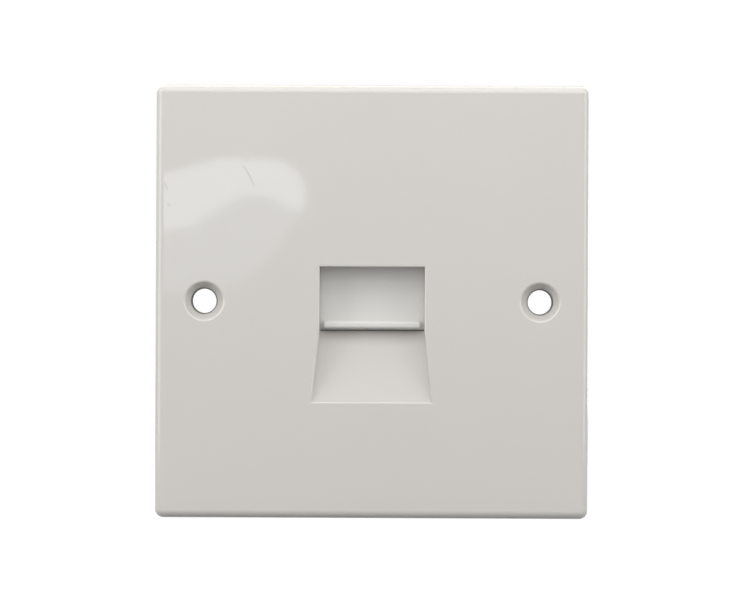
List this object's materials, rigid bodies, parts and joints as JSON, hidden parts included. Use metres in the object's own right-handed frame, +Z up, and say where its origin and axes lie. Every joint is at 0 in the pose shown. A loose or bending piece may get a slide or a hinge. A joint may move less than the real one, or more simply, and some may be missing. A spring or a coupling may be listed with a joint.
{
  "type": "telephone wall socket",
  "caption": "Square flush telephone wall socket with a sprung sliding shutter over its plug opening, a sloping finger recess, two fixing holes and terminals behind.",
  "frame": {"origin": "centre of the plate's rim where it meets the wall", "axes": "+X right as seen from the front, +Z up, +Y into the wall"},
  "size_m": [0.068, 0.0276, 0.068],
  "materials": {
    "plate_plastic": "glossy off-white moulded plastic with a fine scratch and a few light marks",
    "shutter_plastic": "satin off-white moulded plastic",
    "spring_steel": "drawn spring wire",
    "jack_plastic": "natural white moulded plastic",
    "carrier_plastic": "black moulded plastic",
    "contact_metal": "thinly gilded sprung wire",
    "board_laminate": "brown paper laminate with tinned tracks",
    "block_plastic": "white moulded plastic with plain numbers",
    "terminal_metal": "tinned bronze",
    "screw_steel": "bright zinc plate"
  },
  "bodies": {
    "socket": {"faceplate": "plate_plastic", "shutter_spring": "spring_steel", "jack_housing": "jack_plastic", "contact_carrier": "carrier_plastic", "contact_1": "contact_metal", "contact_2": "contact_metal", "contact_3": "contact_metal", "contact_4": "contact_metal", "contact_5": "contact_metal", "contact_6": "contact_metal", "circuit_board": "board_laminate", "terminal_block_left": "block_plastic", "terminal_block_right": "block_plastic", "idc_terminal_1": "terminal_metal", "idc_terminal_2": "terminal_metal", "idc_terminal_3": "terminal_metal", "idc_terminal_4": "terminal_metal", "idc_terminal_5": "terminal_metal", "idc_terminal_6": "terminal_metal", "board_screw_1": "screw_steel", "board_screw_2": "screw_steel"},
    "shutter": {"shutter": "shutter_plastic"}
  },
  "joints": [
    {"name": "shutter_slide", "type": "slide", "parent": "socket", "child": "shutter", "axis": [0, 0, 1], "range_m": [0, 0.0081], "stiffness_N_per_m": 25, "springref_m": -0.008, "deforming": ["shutter_spring"]}
  ]
}
